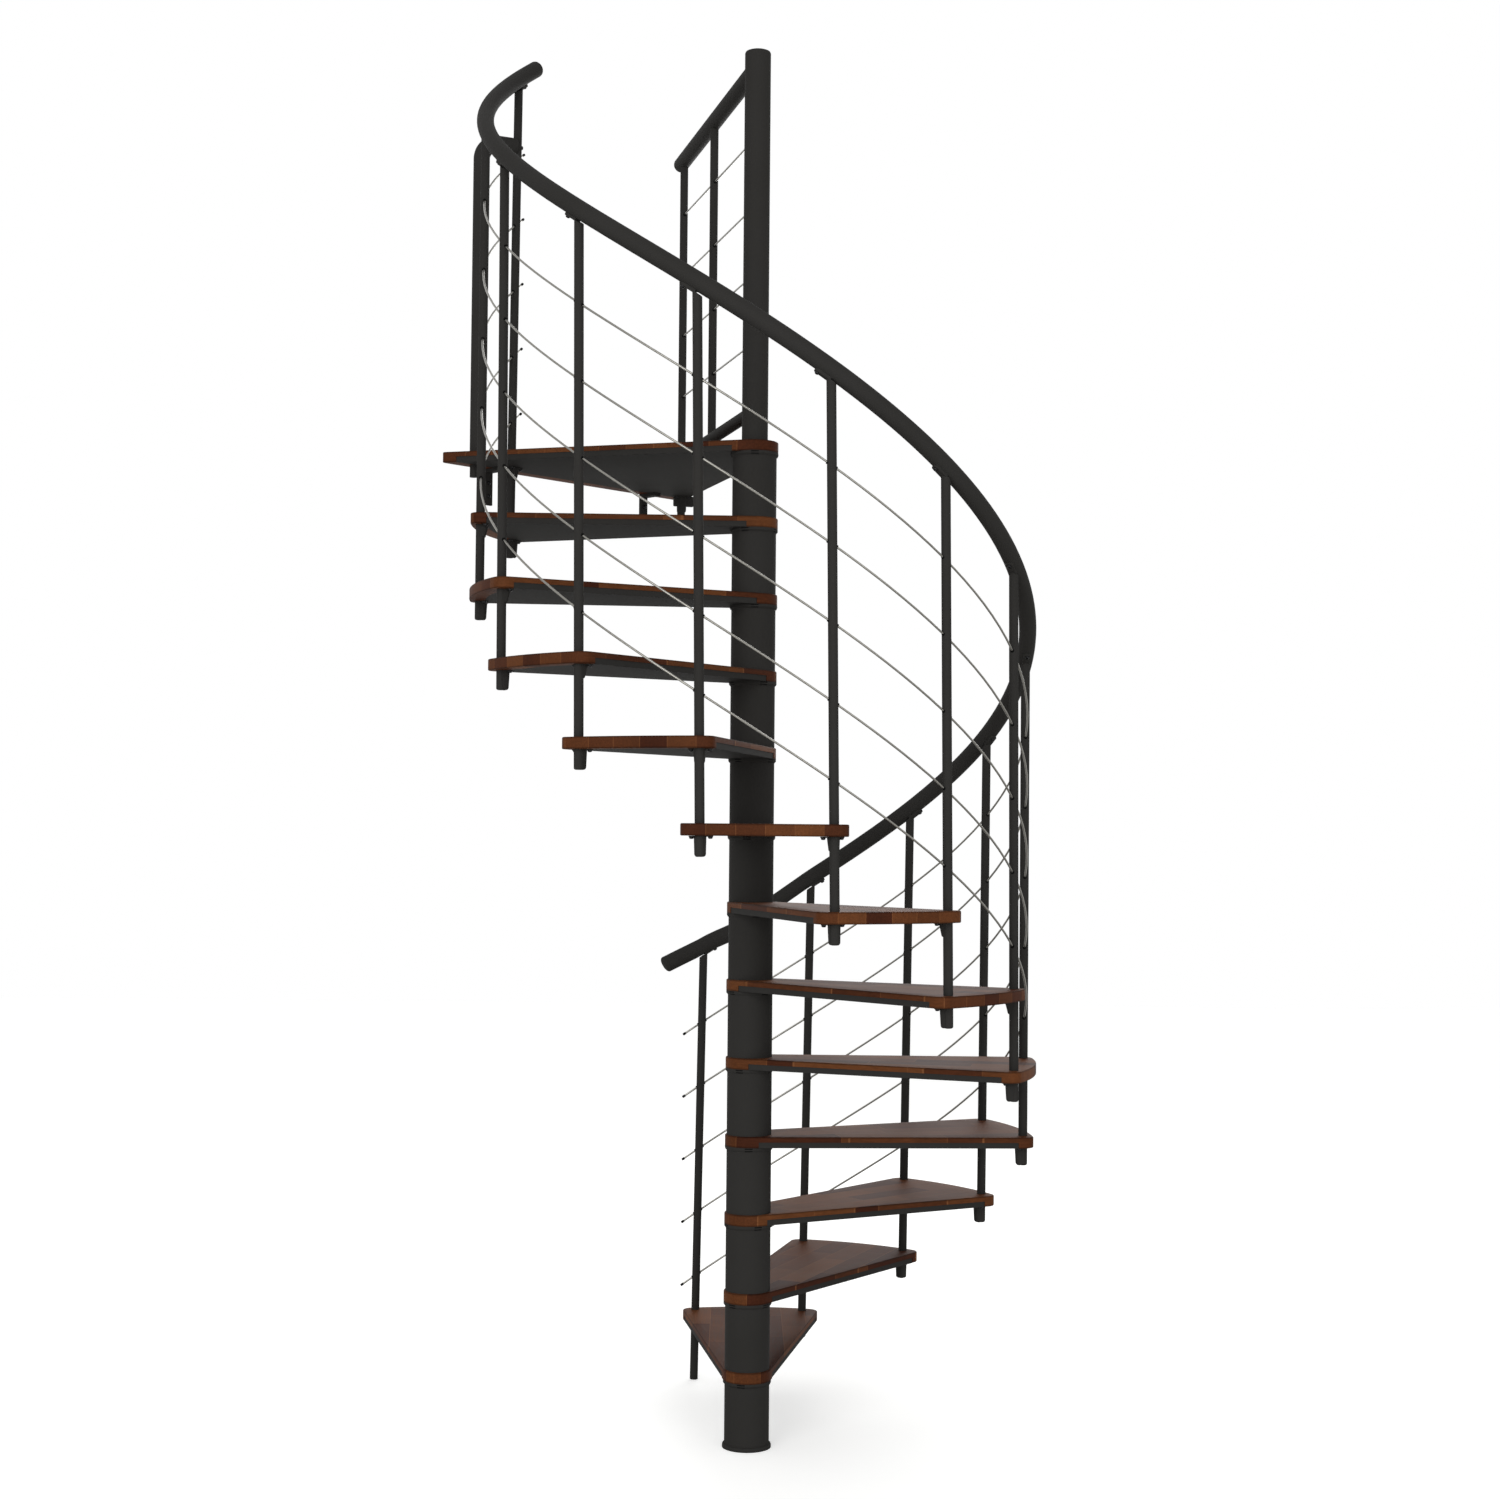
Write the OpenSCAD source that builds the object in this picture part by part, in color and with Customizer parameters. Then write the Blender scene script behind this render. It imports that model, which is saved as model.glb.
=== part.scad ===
// Spiral staircase around a steel centre post: wooden treads on steel trays,
// tube balusters with stainless rods, a helical handrail and a corner landing.
// The origin is on the post's axis at floor level, +Z up, and it climbs clockwise.

/* [Stair] */
// Rise from one tread to the next
riser = 190; // [160:1:230]
// Number of treads below the landing
tread_count = 12; // [8:1:13]
// Turn from one tread to the next, in degrees
step_angle = 25.26; // [22:0.01:28]
// Direction of the first baluster, in degrees from +X
first_angle = 102; // [0:1:359]
// Radius of the stair at the outer ends of the treads
stair_radius = 700; // [580:5:900]

/* [Centre column] */
// Outer diameter of the centre post
post_d = 65; // [50:1:80]
// Wall thickness of the centre post
post_wall = 3; // [2:0.5:6]
// Height of the post above the landing
post_rise = 986; // [800:1:1200]
// Outer diameter of the spacer tubes
spacer_d = 110; // [95:1:135]
// Wall thickness of the spacer tubes
spacer_wall = 3; // [2:0.5:6]
// Outer diameter of the round base flange
flange_d = 120; // [110:1:200]
// Thickness of the base flange
flange_t = 10; // [6:1:20]
// Pitch circle of the anchor holes in the flange
anchor_pcd = 86; // [84:1:88]
// Diameter of the anchor holes
anchor_d = 11; // [8:0.5:12]

/* [Treads] */
// Thickness of the wooden boards
board_t = 27; // [22:1:40]
// Diameter of the boards' round hub
hub_d = 118; // [112:1:145]
// Angle between the centres of a tread's outer corners
corner_span = 26.9; // [26:0.1:30]
// Radius of the boards' outer corners
corner_r = 28; // [15:1:40]
// Depth of the steel tray's side flanges
tray_h = 14; // [8:1:18]
// Thickness of the tray's steel sheet
sheet_t = 3; // [2:0.5:4]
// Height of the steel collar under each hub
collar_h = 11; // [8:1:16]

/* [Balusters] */
// Outer diameter of the balusters
baluster_d = 22; // [18:1:30]
// Wall thickness of the balusters
baluster_wall = 1.5; // [1:0.5:3]
// Distance from the outer ends of the treads to the balusters' axes
baluster_inset = 24; // [18:1:40]
// Length of baluster below the top of the lower tread
baluster_drop = 73; // [65:1:100]
// Lean of the balusters towards the climb, in degrees
baluster_lean = 0.8; // [0:0.1:1.2]
// Diameter of the stainless rods
rod_d = 5; // [4:0.5:8]
// Height of the lowest rod above a tread's top
rod_first = 94; // [60:1:130]
// Height from one rod to the next
rod_pitch = 173; // [100:1:180]
// Number of rods
rod_count = 5; // [5]
// Length of rod past the first and last balusters
rod_end = 47; // [20:1:80]

/* [Handrail] */
// Diameter of the handrail
rail_d = 42; // [36:1:50]
// Height of the handrail's axis above a tread's top, at that tread's baluster
rail_rise = 999; // [900:1:1150]
// Length of handrail past the first and last balusters
rail_end = 112; // [60:1:160]

/* [Landing] */
// Turn from the last baluster to the landing's centre line, in degrees
landing_turn = 22.5; // [15:0.5:30]
// Angle between the landing's two side edges, in degrees
landing_spread = 55.6; // [50:0.1:60]
// Radius of the landing's outer corners
landing_corner_r = 8; // [4:1:30]
// Height of the landing guard's top rail axis above the landing
guard_rise = 946; // [850:1:955]
// Height of the guard's lower rail axis above the landing
guard_low = 82; // [45:1:100]
// Diameter of the guard's lower rail
guard_low_d = 32; // [25:1:42]
// Distance from the landing's outer edge to the guard's end baluster
guard_inset_out = 57; // [30:1:70]
// Distance from the landing's side edge to the guard's end baluster
guard_inset_side = 26; // [24:1:50]
// Number of rods in the landing guard
guard_rods = 4; // [2:1:5]
// Length of the guard's end baluster below the landing's top
guard_drop = 96; // [80:1:120]
// Height of the corner guard's upper tube axis above the landing
corner_rise = 818; // [600:1:860]
// Distance from the landing's outer edge to the corner guard
corner_inset_out = 41; // [30:1:60]
// Distance from the landing's side edge to the corner guard
corner_inset_side = 61; // [40:1:80]
// Distance of each wall bracket from the landing's centre line
wall_bracket_offset = 280; // [200:1:320]
// Length of the wall brackets below the boards
wall_bracket_h = 93; // [70:1:140]
// Width of the wall brackets
wall_bracket_w = 25; // [20:1:40]
// Thickness of the wall brackets
wall_bracket_t = 8; // [5:1:12]
// Diameter of the screw holes in the wall brackets
wall_hole_d = 9; // [6:0.5:12]

/* [Hidden] */
// Clearances
sliding_fit = 0.3;   // radial, of a tube in a hole
rod_fit = 0.8;       // radial, of a rod in a baluster
tray_fit = 0.5;      // between a tray's flange and the board in it
seat_gap = 0.3;      // between a curved face and its seat
face_gap = 0.02;     // between flat faces

// Derived sizes
post_r = post_d / 2;
hub_r = hub_d / 2;
rail_r = rail_d / 2;
baluster_r = baluster_d / 2;
lean_pivot = 210;                                  // height above a tread at which its baluster stands on the circle
rod_r = rod_d / 2;
baluster_pcr = stair_radius - baluster_inset;      // radius of the baluster circle
landing_z = (tread_count + 1) * riser;
landing_reach = stair_radius;                      // post's axis to the landing's outer edge
landing_gamma = landing_spread / 2;
tray_inset = 1.5;                                  // tray's side flange inside the board's edge
tray_end_gap = 4;                                  // tray's end to the balusters
tray_start = 10;                                   // tray's inner end, from the post's axis
tray_r = baluster_pcr - baluster_r - tray_end_gap; // radius of the tray's outer end
hole_r = baluster_r + sliding_fit;                 // holes for the balusters
climb = baluster_pcr * step_angle * PI / 180;      // arc from one baluster to the next
slope = atan2(riser, climb);                       // slope of the handrail and rods
saddle_t = 5;                                      // steel under the rail
saddle_w = 18;
saddle_l = 58;
shell_t = 4;                                       // half shells that clamp the balusters
flange_ear = 30;                                   // half width of the shells' top flange
slot_l = 19;                                       // slots in the collars
slot_h = 2;
slot_pitch = 5.5;
eps = 0.01;

last = tread_count + 1;                            // the landing counts as the last tread

function baluster_angle(k) = first_angle - (k - 1) * step_angle;
function tread_angle(k) = baluster_angle(k) - step_angle / 2;
landing_angle = baluster_angle(last) - landing_turn;

function two(k) = str(k < 10 ? "0" : "", k);
function polar(r, a) = [r * cos(a), r * sin(a)];

// ---- outlines in a tread's own frame: +X outwards, hub at the origin ----

// Direction of the normal to a side edge, which is tangent to the hub and the corner
function edge_normal(c, r_hub, r_corner) = atan2(c[1], c[0]) + acos((r_hub - r_corner) / norm(c));

// Outline with a round hub, two straight side edges and round outer corners
function outline(c, r_hub, r_corner, first) =
  let (last_a = edge_normal(c, r_hub, r_corner), n = 8, m = 28)
  concat(
    [for (i = [0:n]) c + polar(r_corner, first + (last_a - first) * i / n)],
    [for (i = [0:m]) polar(r_hub, last_a + (360 - 2 * last_a) * i / m)],
    [for (i = [0:n]) let (p = polar(r_corner, last_a + (first - last_a) * i / n)) [c[0] + p[0], -c[1] - p[1]]]
  );

// Point of a side edge at distance r from the hub's axis, for an edge offset d inwards
function edge_at_radius(normal, d, r) = polar(r, normal - acos((hub_r - d) / r));
// and at distance x along the centre line
function edge_at_x(normal, d, x) = [x, (hub_r - d - x * cos(normal)) / sin(normal)];

function mirrored(points) = concat(points, [for (i = [len(points) - 1:-1:0]) [points[i][0], -points[i][1]]]);

tread_corner = polar(stair_radius - corner_r, corner_span / 2);
tread_normal = edge_normal(tread_corner, hub_r, corner_r);
tread_rim = [for (i = [1:27]) polar(stair_radius, -corner_span / 2 + corner_span * i / 28)];
tread_outline = concat(outline(tread_corner, hub_r, corner_r, corner_span / 2), tread_rim);

landing_normal = 90 + landing_gamma;
landing_corner = [
  landing_reach - landing_corner_r,
  (hub_r - landing_corner_r - (landing_reach - landing_corner_r) * cos(landing_normal)) / sin(landing_normal)
];
landing_outline = outline(landing_corner, hub_r, landing_corner_r, 0);

// Area of a tray between its two side edges, offset d inwards, lengthened by over at both ends
function tread_tray(d, over = 0) =
  let (end_a = atan2(edge_at_radius(tread_normal, d, tray_r + over)[1], edge_at_radius(tread_normal, d, tray_r + over)[0]))
  concat(
    mirrored([edge_at_x(tread_normal, d, tray_start - over)]),
    [for (i = [0:14]) polar(tray_r + over, -end_a + 2 * end_a * i / 14)]
  );
landing_tray_x = landing_reach - baluster_inset - baluster_r - tray_end_gap;
function landing_tray_area(d, over = 0) = mirrored([
  edge_at_x(landing_normal, d, landing_tray_x + over),
  edge_at_x(landing_normal, d, tray_start - over)
]);

// Places on the landing, in its own frame
last_baluster = polar(baluster_pcr, landing_turn);
guard_end = let (x = landing_reach - guard_inset_out) -[-x, edge_at_x(landing_normal, guard_inset_side, x)[1]];
guard_run = norm(guard_end);
guard_angle = landing_angle + atan2(guard_end[1], guard_end[0]);
corner_guard = edge_at_x(landing_normal, corner_inset_side, landing_reach - corner_inset_out);
corner_stub_r = 10;
corner_stub_shift = rail_r - corner_stub_r;
corner_stub_dir = atan2(corner_guard[1], corner_guard[0]);
corner_stub = corner_guard + polar(corner_stub_shift, corner_stub_dir);
corner_stud_r = 6;
corner_stub_drop = 58;

// ---- centre column ----

module base_flange() color("#333331") difference() {
  rotate_extrude($fn = 96) polygon([
    [0, 0], [flange_d / 2, 0], [flange_d / 2, flange_t - 4], [flange_d / 2 - 1.2, flange_t - 1.2],
    [flange_d / 2 - 4, flange_t], [0, flange_t]
  ]);
  for (a = [45:90:315]) rotate(a) translate([anchor_pcd / 2, 0, -1]) cylinder(d = anchor_d, h = flange_t + 2, $fn = 32);
}

cap_t = 12;
cap_plug = 25;
post_top = landing_z + post_rise;

module centre_post() color("#333331") translate([0, 0, flange_t]) difference() {
  cylinder(r = post_r, h = post_top - cap_t - flange_t, $fn = 96);
  translate([0, 0, -1]) cylinder(r = post_r - post_wall, h = post_top - cap_t - flange_t + 2, $fn = 96);
}

module post_cap() color("#2f2f2d") translate([0, 0, post_top - cap_t]) {
  rotate_extrude($fn = 96) polygon([
    [0, 0], [post_r, 0], [post_r, cap_t - 5], [post_r - 1.5, cap_t - 1.5], [post_r - 5, cap_t], [0, cap_t]
  ]);
  translate([0, 0, -cap_plug]) cylinder(r = post_r - post_wall - sliding_fit, h = cap_plug + eps, $fn = 96);
}

// Spacer from the top of one hub to the collar of the next
module spacer(low, high) translate([0, 0, low]) difference() {
  cylinder(d = spacer_d, h = high - low, $fn = 96);
  translate([0, 0, -1]) cylinder(d = spacer_d - 2 * spacer_wall, h = high - low + 2, $fn = 96);
}

module column_spacers() color("#333331")
  for (k = [1:last]) spacer(k == 1 ? flange_t : (k - 1) * riser, k * riser - board_t - collar_h);

// ---- treads and landing ----

// A board with its rebate for the tray, its post bore and its baluster holes
module board(points, tray_out, tray_in, area) difference() {
  translate([0, 0, -board_t]) linear_extrude(board_t) polygon(points);
  translate([0, 0, -board_t - 1]) linear_extrude(sheet_t + 1) polygon(area);
  translate([0, 0, -board_t - 1]) difference() {
    linear_extrude(tray_h + 1) polygon(tray_out);
    translate([0, 0, -1]) linear_extrude(tray_h + 3) polygon(tray_in);
  }
  translate([0, 0, -board_t - 1]) cylinder(r = post_r + sliding_fit, h = board_t + 2, $fn = 96);
}

module tread(k) color("#6b4436") translate([0, 0, k * riser]) rotate(tread_angle(k)) difference() {
  board(
    tread_outline, tread_tray(-5, 0.3), tread_tray(tray_inset + sheet_t + tray_fit, 5),
    tread_tray(-5, 0.3)
  );
  rotate(-tread_angle(k)) translate([0, 0, -k * riser]) for (j = [k, k + 1]) baluster_space(j, k * riser, sliding_fit);
}

module landing_board() color("#6b4436") translate([0, 0, landing_z]) rotate(landing_angle) difference() {
  board(
    landing_outline, landing_tray_area(-5, 0.3), landing_tray_area(tray_inset + sheet_t + tray_fit, 5),
    landing_tray_area(-5, 0.3)
  );
  landing_holes(-board_t - 1, board_t + 2);
}

// Holes through the landing for the last baluster, the guard's end baluster and the corner guard's stud
module landing_holes(z, h) {
  rotate(-landing_angle) translate([0, 0, -landing_z]) baluster_space(last, landing_z, sliding_fit);
  translate([guard_end[0], guard_end[1], z]) cylinder(r = hole_r, h = h, $fn = 48);
  translate([corner_stub[0], corner_stub[1], z]) cylinder(r = corner_stud_r + sliding_fit, h = h, $fn = 48);
}

// Steel tray with side flanges, on a collar that sits on the spacer below
module tray(area, inner, slot_angle) difference() {
  union() {
    translate([0, 0, -board_t]) linear_extrude(sheet_t) polygon(area);
    difference() {
      translate([0, 0, -board_t]) linear_extrude(tray_h) polygon(area);
      translate([0, 0, -board_t - 1]) linear_extrude(tray_h + 2) polygon(inner);
    }
    translate([0, 0, -board_t - collar_h]) rotate_extrude($fn = 96) polygon([
      [0, 0], [spacer_d / 2, 0], [hub_r, collar_h * 0.45], [hub_r, collar_h], [0, collar_h]
    ]);
  }
  translate([0, 0, -board_t - collar_h - 1]) cylinder(r = post_r + sliding_fit, h = board_t + collar_h, $fn = 96);
  for (i = [0:3], j = [0, 1]) rotate(slot_angle + 90 * i)
    translate([hub_r, 0, -board_t - 1.5 - slot_h / 2 - j * slot_pitch])
      cube([7, slot_l, slot_h], center = true);
}

module tread_tray_part() tray(
  tread_tray(tray_inset), tread_tray(tray_inset + sheet_t, 5), -14
);

module tread_trays() color("#333331")
  for (k = [1:tread_count]) translate([0, 0, k * riser]) rotate(tread_angle(k)) tread_tray_part();

module landing_tray() color("#333331") translate([0, 0, landing_z]) rotate(landing_angle) difference() {
  tray(landing_tray_area(tray_inset), landing_tray_area(tray_inset + sheet_t, 5), 44);
  landing_holes(-board_t - 1, tray_h + 2);
}

// ---- balusters and rods ----

// Moves children to baluster k at height z, with X outwards and Y along the climb
module at_baluster(k, z) rotate(baluster_angle(k)) translate([baluster_pcr, lean_shift(z - k * riser), z]) mirror([0, 1, 0])
  children();
function lean_shift(h) = -(h - lean_pivot) * tan(baluster_lean);
module leaning() rotate([-baluster_lean, 0, 0]) children();

// The space that baluster k takes near height z, with a clearance
module baluster_space(k, z, fit) at_baluster(k, z) leaning() cylinder(r = baluster_r + fit, h = 240, center = true, $fn = 48);

// Turns children so that X runs up the slope, Y outwards
module on_slope() rotate([0, 0, 90]) mirror([0, 1, 0]) rotate([0, -slope, 0]) children();

rail_drop = (rail_r + saddle_t) / cos(slope) + baluster_r * tan(slope) + seat_gap;

function baluster_low(k) = k == 1 ? 0.2 : (k - 1) * riser - baluster_drop;
function baluster_top(k) = k * riser + rail_rise - rail_drop;

module tube(low, high, d, wall) translate([0, 0, low]) difference() {
  cylinder(d = d, h = high - low, $fn = 48);
  translate([0, 0, -1]) cylinder(d = d - 2 * wall, h = high - low + 2, $fn = 48);
}

module baluster(k) color("#333331") difference() {
  at_baluster(k, k * riser) leaning() translate([0, 0, -k * riser])
    tube(baluster_low(k), baluster_top(k), baluster_d, baluster_wall);
  for (i = [0:rod_count - 1]) let (z = k * riser + rod_first + i * rod_pitch) at_baluster(k, z) on_slope()
    rotate([0, 90, 0]) cylinder(r = rod_r + rod_fit, h = 3 * baluster_d, center = true, $fn = 24);
}

// Half shell that holds a baluster under a tread, on the side towards the post, with a flange for its screws
module shell(h, lean, ear = flange_ear) difference() {
  union() {
    intersection() {
      translate([0, 0, -h]) rotate_extrude($fn = 48) polygon([
        [0, 0], [baluster_r + shell_t - 3, 0], [baluster_r + shell_t - 1, 3],
        [baluster_r + shell_t, 9], [baluster_r + shell_t, h], [0, h]
      ]);
      translate([-2 * baluster_d - 3, -baluster_d, -h - 1]) cube([2 * baluster_d, 2 * baluster_d, h + 2]);
    }
    translate([-baluster_r - shell_t - 8, -ear, -sheet_t]) cube([shell_t + 13, 2 * ear, sheet_t]);
  }
  rotate([-lean, 0, 0]) cylinder(r = baluster_r + seat_gap, h = 3 * h, center = true, $fn = 48);
}

upper_shell_h = 33;
lower_shell_h = baluster_drop - board_t;

module upper_brackets() color("#2f2f2d")
  for (k = [1:last]) at_baluster(k, k * riser - board_t) shell(upper_shell_h, baluster_lean);

module lower_brackets() color("#2f2f2d") {
  for (k = [2:last]) at_baluster(k, (k - 1) * riser - board_t) shell(lower_shell_h, baluster_lean);
  rotate(guard_angle) translate([guard_run, 0, landing_z - board_t - face_gap]) shell(lower_shell_h, 0, 24);
}

// Height over the circle's own baluster of a helix that meets the leaning ones at height h above their treads
function helix_rise(h) = h + lean_shift(h) * tan(slope);
// Turn from a baluster's place on the circle to its place at height h
function lean_turn(h) = atan(lean_shift(h) / baluster_pcr);

// Point of the helix at t, counted in steps from the first baluster, with z0 added
function helix_point(t, z0) = concat(polar(baluster_pcr, baluster_angle(t + 1)), [(t + 1) * riser + z0]);
function helix_ring(t, z0, r, n) =
  let (
    a = baluster_angle(t + 1), out = [cos(a), sin(a), 0],
    up = [-sin(a) * sin(slope), cos(a) * sin(slope), cos(slope)]
  )
  [for (j = [0:n - 1]) helix_point(t, z0) + r * (cos(360 * j / n) * out + sin(360 * j / n) * up)];

// Round bar of radius r that follows the helix from t0 to t1, with a ring at every one of m steps
module helix_bar(z0, r, n, t0, t1, m) {
  rings = [for (i = [0:m]) helix_ring(t0 + (t1 - t0) * i / m, z0, r, n)];
  points = [for (ring = rings, p = ring) p];
  sides = [
    for (i = [0:m - 1], j = [0:n - 1])
      let (k = (j + 1) % n)
      each [
        [i * n + j, (i + 1) * n + j, (i + 1) * n + k],
        [i * n + j, (i + 1) * n + k, i * n + k]
      ]
  ];
  polyhedron(concat(points), concat(
    sides, [[for (j = [0:n - 1]) j]], [[for (j = [n - 1:-1:0]) m * n + j]]
  ));
}

rail_over = rail_end / (climb / cos(slope));  // steps of handrail past the end balusters
rod_over = rod_end / (climb / cos(slope));

module handrail() color("#2f2f2d")
  helix_bar(helix_rise(rail_rise), rail_r, 16, -rail_over, tread_count + rail_over, 8 * last);

module rod(i) color("#c8c8c4")
  helix_bar(helix_rise(rod_first + (i - 1) * rod_pitch), rod_r, 8, -rod_over, tread_count + rod_over, 6 * last);

// Domed end of a rail along +X
module rail_dome() rotate([0, 90, 0]) rotate_extrude($fn = 48) polygon(concat(
  [[0, 0]], [for (a = [0:15:90]) [rail_r * cos(a), 11 * sin(a)]]
));

module handrail_ends() color("#2f2f2d") {
  rotate(baluster_angle(1) + rail_over * step_angle) translate([baluster_pcr, 0, riser * (1 - rail_over) + helix_rise(rail_rise)])
    mirror([0, 1, 0]) on_slope() translate([-face_gap, 0, 0]) mirror([1, 0, 0]) rail_dome();
  rotate(baluster_angle(last) - rail_over * step_angle)
    translate([baluster_pcr, 0, riser * (last + rail_over) + helix_rise(rail_rise)]) mirror([0, 1, 0]) on_slope() translate([face_gap, 0, 0]) rail_dome();
}

// Saddle between a baluster and the rail above it
module saddle() difference() {
  union() {
    on_slope() translate([-saddle_l / 2, -saddle_w / 2, -rail_r - saddle_t]) cube([saddle_l, saddle_w, saddle_t + 4]);
    leaning() translate([0, 0, -rail_drop - 20])
      cylinder(r = baluster_r - baluster_wall - sliding_fit, h = 20 + rail_drop - rail_r, $fn = 48);
  }
  on_slope() rotate([0, 90, 0]) cylinder(r = rail_r + seat_gap, h = 3 * saddle_l, center = true, $fn = 64);
}

module rail_saddles() color("#2f2f2d")
  for (k = [1:last]) rotate(baluster_angle(k) + lean_turn(rail_rise))
    translate([baluster_pcr, 0, k * riser + rail_rise]) mirror([0, 1, 0]) saddle();

// ---- landing guard ----

// Horizontal bar from the post to distance run, at height z above the landing
module post_bar(z, d, from, run) rotate(guard_angle) translate([from, 0, landing_z + z]) rotate([0, 90, 0])
  cylinder(d = d, h = run - from, $fn = 64);

module guard_rail() color("#2f2f2d") {
  difference() {
    post_bar(guard_rise, rail_d, 0, guard_run + 6);
    translate([0, 0, landing_z]) cylinder(r = post_r + seat_gap, h = post_rise, $fn = 96);
  }
  rotate(guard_angle) translate([guard_run + 6, 0, landing_z + guard_rise]) rail_dome();
}

module guard_lower_rail() color("#333331") difference() {
  post_bar(guard_low, guard_low_d, 0, guard_run);
  translate([0, 0, landing_z]) cylinder(r = post_r + seat_gap, h = post_rise, $fn = 96);
  rotate(guard_angle) translate([guard_run, 0, landing_z]) cylinder(r = baluster_r + seat_gap, h = 200, $fn = 48);
}

guard_rod_pitch = (guard_rise - guard_low) / (guard_rods + 1);
guard_mid = guard_run * 0.56;
guard_head = guard_rise - rail_r - seat_gap;

module guard_balusters() color("#333331") {
  rotate(guard_angle) difference() {
    union() {
      translate([guard_run, 0, landing_z]) tube(-guard_drop, guard_head, baluster_d, baluster_wall);
      translate([guard_mid, 0, landing_z]) tube(guard_low, guard_head, baluster_d, baluster_wall);
    }
    translate([guard_mid, 0, landing_z + guard_low]) rotate([0, 90, 0])
      cylinder(d = guard_low_d + 2 * seat_gap, h = 4 * baluster_d, center = true, $fn = 64);
    for (i = [1:guard_rods]) translate([0, 0, landing_z + guard_low + i * guard_rod_pitch]) rotate([0, 90, 0])
      cylinder(r = rod_r + rod_fit, h = guard_run + 100, $fn = 24);
  }
}

module guard_rods() color("#c8c8c4") for (i = [1:guard_rods])
  difference() {
    post_bar(guard_low + i * guard_rod_pitch, rod_d, 0, guard_run + 28);
    translate([0, 0, landing_z]) cylinder(r = post_r + seat_gap, h = post_rise, $fn = 96);
  }

// ---- corner guard and wall brackets ----

elbow_r = 46;
corner_span_v = last_baluster - corner_guard;

module corner_guard_tube() color("#333331") translate([0, 0, landing_z]) rotate(landing_angle) {
  difference() {
    translate([corner_guard[0], corner_guard[1], 0]) rotate(atan2(corner_span_v[1], corner_span_v[0])) difference() {
      union() {
        cylinder(r = rail_r, h = corner_rise - elbow_r, $fn = 64);
        translate([elbow_r, 0, corner_rise - elbow_r]) rotate([90, 0, 0]) rotate([0, 0, 90]) rotate_extrude(angle = 90, $fn = 64)
          translate([elbow_r, 0]) circle(r = rail_r, $fn = 64);
        translate([elbow_r, 0, corner_rise]) rotate([0, 90, 0])
          cylinder(r = rail_r, h = norm(corner_span_v) - elbow_r, $fn = 64);
      }
      translate([0, 0, -1]) cylinder(r = rail_r - 2.5, h = corner_rise - elbow_r - 20, $fn = 64);
    }
    rotate(-landing_angle) translate([0, 0, -landing_z]) at_baluster(last, landing_z + corner_rise) leaning()
      cylinder(r = baluster_r + seat_gap, h = 3 * rail_d, center = true, $fn = 48);
  }
  translate([corner_stub[0], corner_stub[1], -corner_stub_drop])
    cylinder(r = corner_stub_r, h = corner_stub_drop - board_t, $fn = 48);
  translate([corner_stub[0], corner_stub[1], -board_t - eps]) cylinder(r = corner_stud_r, h = board_t + 20, $fn = 48);
}

module wall_bracket() difference() {
  union() {
    translate([landing_reach - wall_bracket_t, -wall_bracket_w / 2, -board_t - wall_bracket_h])
      cube([wall_bracket_t, wall_bracket_w, wall_bracket_h]);
    translate([landing_reach - 60, -wall_bracket_w / 2, -board_t - wall_bracket_t])
      cube([60, wall_bracket_w, wall_bracket_t]);
  }
  for (z = [35, 70]) translate([landing_reach - wall_bracket_t - 1, 0, -board_t - z]) rotate([0, 90, 0])
    cylinder(d = wall_hole_d, h = wall_bracket_t + 2, $fn = 32);
}

module wall_brackets() color("#2f2f2d") translate([0, 0, landing_z]) rotate(landing_angle)
  for (s = [-1, 1]) translate([0, s * wall_bracket_offset, 0]) wall_bracket();

// ---- nodes ----

base_flange();
centre_post();
post_cap();
column_spacers();
for (k = [1:tread_count]) tread(k);
landing_board();
tread_trays();
landing_tray();
for (k = [1:last]) baluster(k);
upper_brackets();
lower_brackets();
rail_saddles();
handrail();
handrail_ends();
for (i = [1:rod_count]) rod(i);
guard_rail();
guard_lower_rail();
guard_balusters();
guard_rods();
corner_guard_tube();
wall_brackets();
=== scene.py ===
import math
import random

import bpy
from mathutils import Matrix, Vector


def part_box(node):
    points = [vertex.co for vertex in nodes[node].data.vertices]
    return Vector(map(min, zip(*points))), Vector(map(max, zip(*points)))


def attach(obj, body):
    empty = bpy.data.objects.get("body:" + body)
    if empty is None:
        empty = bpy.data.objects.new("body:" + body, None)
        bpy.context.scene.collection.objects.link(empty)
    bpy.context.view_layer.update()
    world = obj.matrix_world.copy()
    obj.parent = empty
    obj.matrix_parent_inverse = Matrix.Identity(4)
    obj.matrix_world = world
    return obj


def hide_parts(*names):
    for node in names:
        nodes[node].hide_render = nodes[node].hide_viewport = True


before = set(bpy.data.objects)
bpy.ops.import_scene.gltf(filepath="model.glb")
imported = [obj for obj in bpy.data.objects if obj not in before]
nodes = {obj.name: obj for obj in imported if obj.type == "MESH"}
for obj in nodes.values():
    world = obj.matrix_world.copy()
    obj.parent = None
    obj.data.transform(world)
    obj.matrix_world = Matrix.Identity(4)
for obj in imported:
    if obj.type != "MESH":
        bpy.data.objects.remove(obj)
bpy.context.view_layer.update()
print("frame loaded:", len(nodes), "nodes")


# the stair's own geometry, in metres and degrees; it climbs clockwise

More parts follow.
